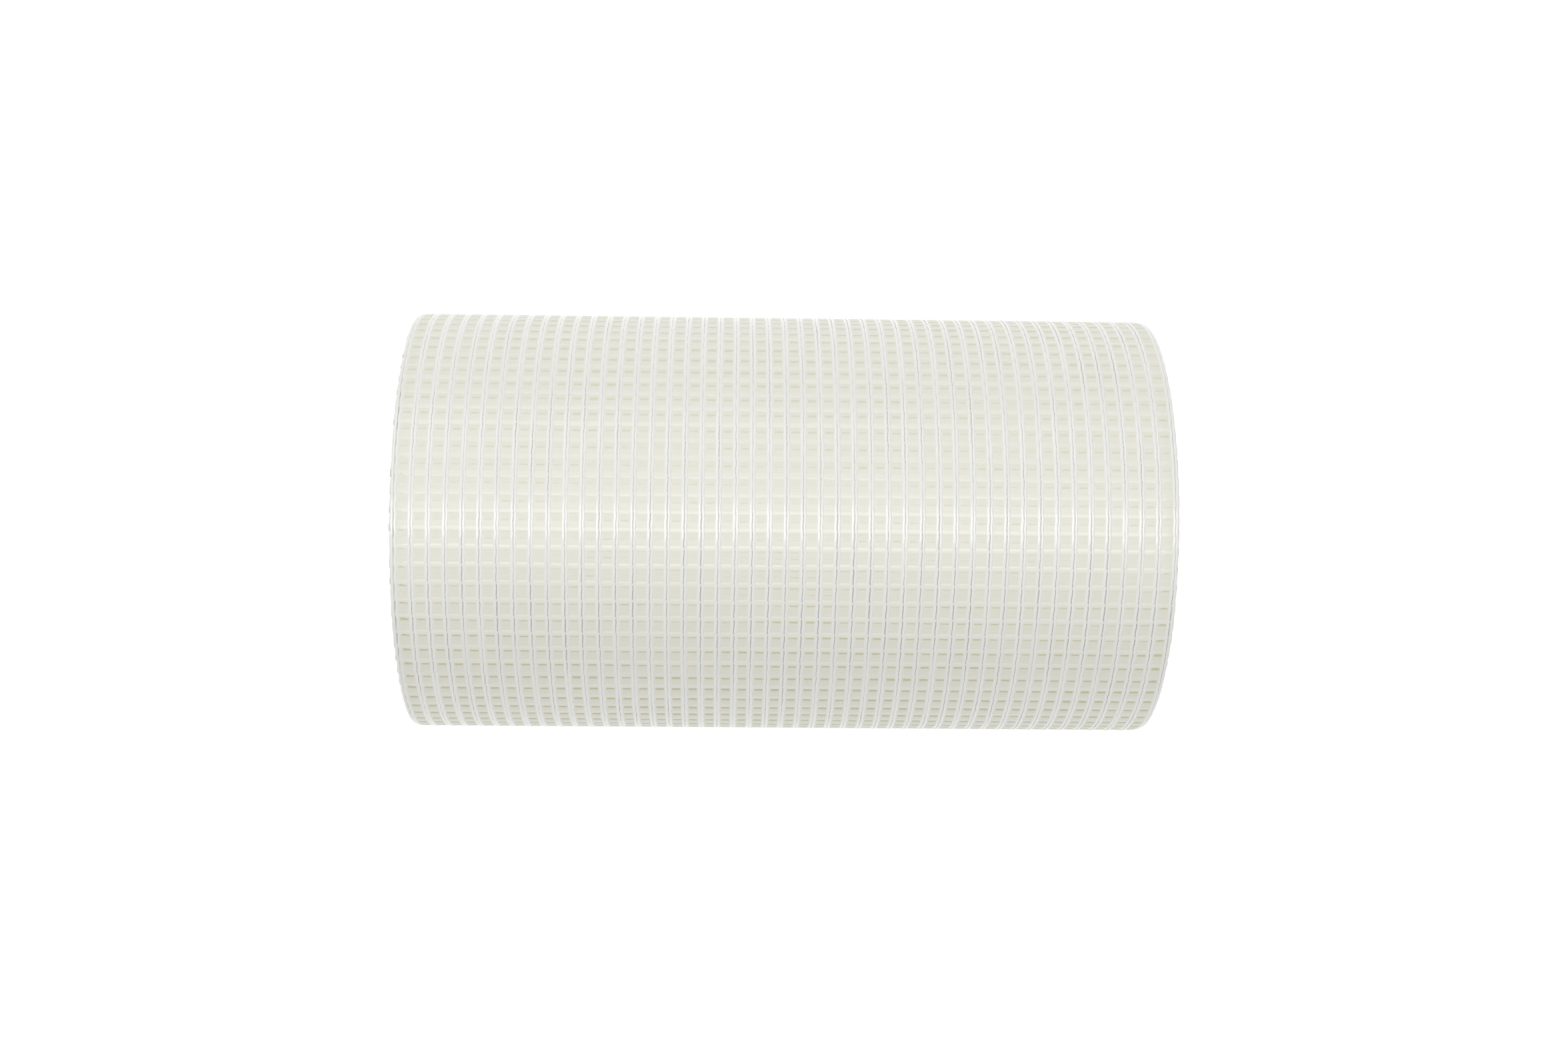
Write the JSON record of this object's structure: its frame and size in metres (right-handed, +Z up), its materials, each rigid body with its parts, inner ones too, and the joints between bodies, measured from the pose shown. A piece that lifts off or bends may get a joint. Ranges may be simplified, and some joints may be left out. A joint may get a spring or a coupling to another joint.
{
  "type": "roll of fiberglass mesh",
  "caption": "Roll of white self-adhesive fiberglass mesh strip for reinforcing plaster and board joints, wound around a plain through bore and lying on its side.",
  "frame": {"origin": "on the floor under the middle of the roll, where its lowest flat rests", "axes": "+X along the roll's axis, across the width of the strip; +Z up, towards the picture's camera, which is taken to look down on the roll; +Y towards the top edge of the picture"},
  "size_m": [0.15, 0.0856, 0.0855],
  "materials": {
    "glass_mesh": "white glass yarn in a clear, faintly yellow-green adhesive coating, satin with small bright glints on the yarns"
  },
  "bodies": {
    "root": {"mesh_roll": "glass_mesh"}
  },
  "joints": []
}
